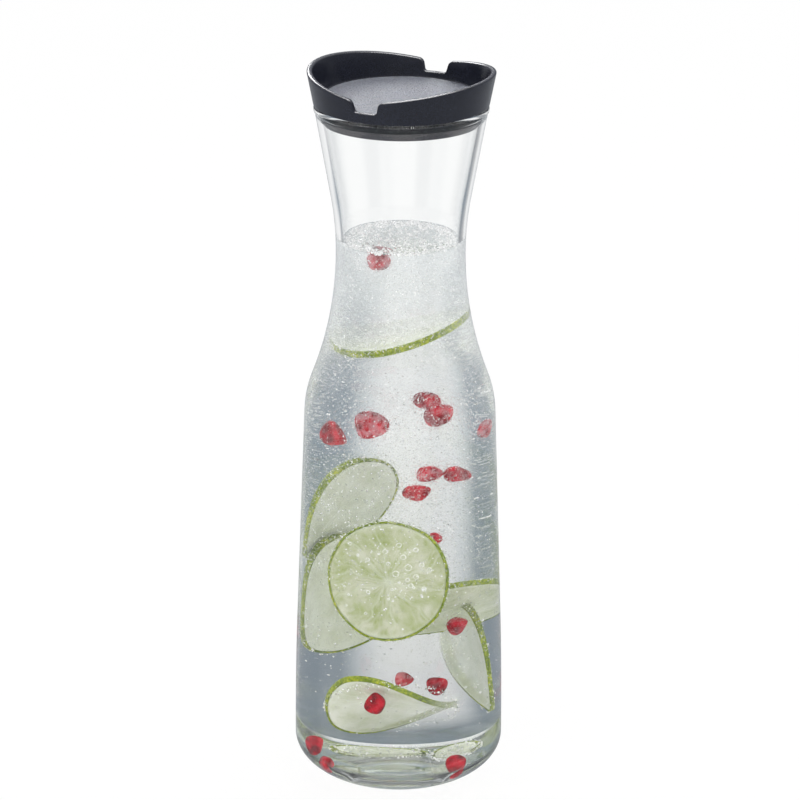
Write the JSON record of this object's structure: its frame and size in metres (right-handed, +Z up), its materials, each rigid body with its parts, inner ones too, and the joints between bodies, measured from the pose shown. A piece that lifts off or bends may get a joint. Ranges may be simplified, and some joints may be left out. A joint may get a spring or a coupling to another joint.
{
  "type": "water carafe with pouring lid",
  "caption": "Clear glass water carafe with a waisted neck, filled with fruit water, and a dark notched lid whose weighted valve plate opens when it is tipped.",
  "frame": {"origin": "centre of the foot, on the surface the carafe stands on", "axes": "+Z up along the axis of the glass; the lid's two pouring notches face -Y and +Y"},
  "size_m": [0.086, 0.086, 0.3021],
  "materials": {
    "clear_glass": "clear, fire polished",
    "collar_plastic": "satin moulded",
    "seal_rubber": "matte silicone",
    "sleeve_plastic": "satin moulded",
    "strainer_plastic": "satin moulded",
    "disc_plastic": "fine spark-eroded grain",
    "washer_rubber": "matte silicone",
    "stem_steel": "turned stainless",
    "weight_steel": "turned stainless",
    "water": "clear sparkling water, render only",
    "bubbles": "gas bubbles and foam, render only",
    "lime_rind": "waxy green peel, render only",
    "lime_flesh": "wet pulp, render only",
    "fruit_seed": "wet red seed flesh, render only"
  },
  "bodies": {
    "carafe": {"glass_body": "clear_glass"},
    "lid": {"lid_collar": "collar_plastic", "neck_seal": "seal_rubber", "plug_sleeve": "sleeve_plastic", "strainer": "strainer_plastic"},
    "valve": {"valve_disc": "disc_plastic", "valve_washer": "washer_rubber", "valve_stem": "stem_steel", "valve_weight": "weight_steel", "stem_clip": "stem_steel"}
  },
  "joints": [
    {"name": "lid_lift", "type": "slide", "parent": "carafe", "child": "lid", "axis": [0, 0, 1], "range_m": [0, 0.08]},
    {"name": "valve_lift", "type": "slide", "parent": "lid", "child": "valve", "axis": [0, 0, 1], "range_m": [0, 0.0035]}
  ]
}
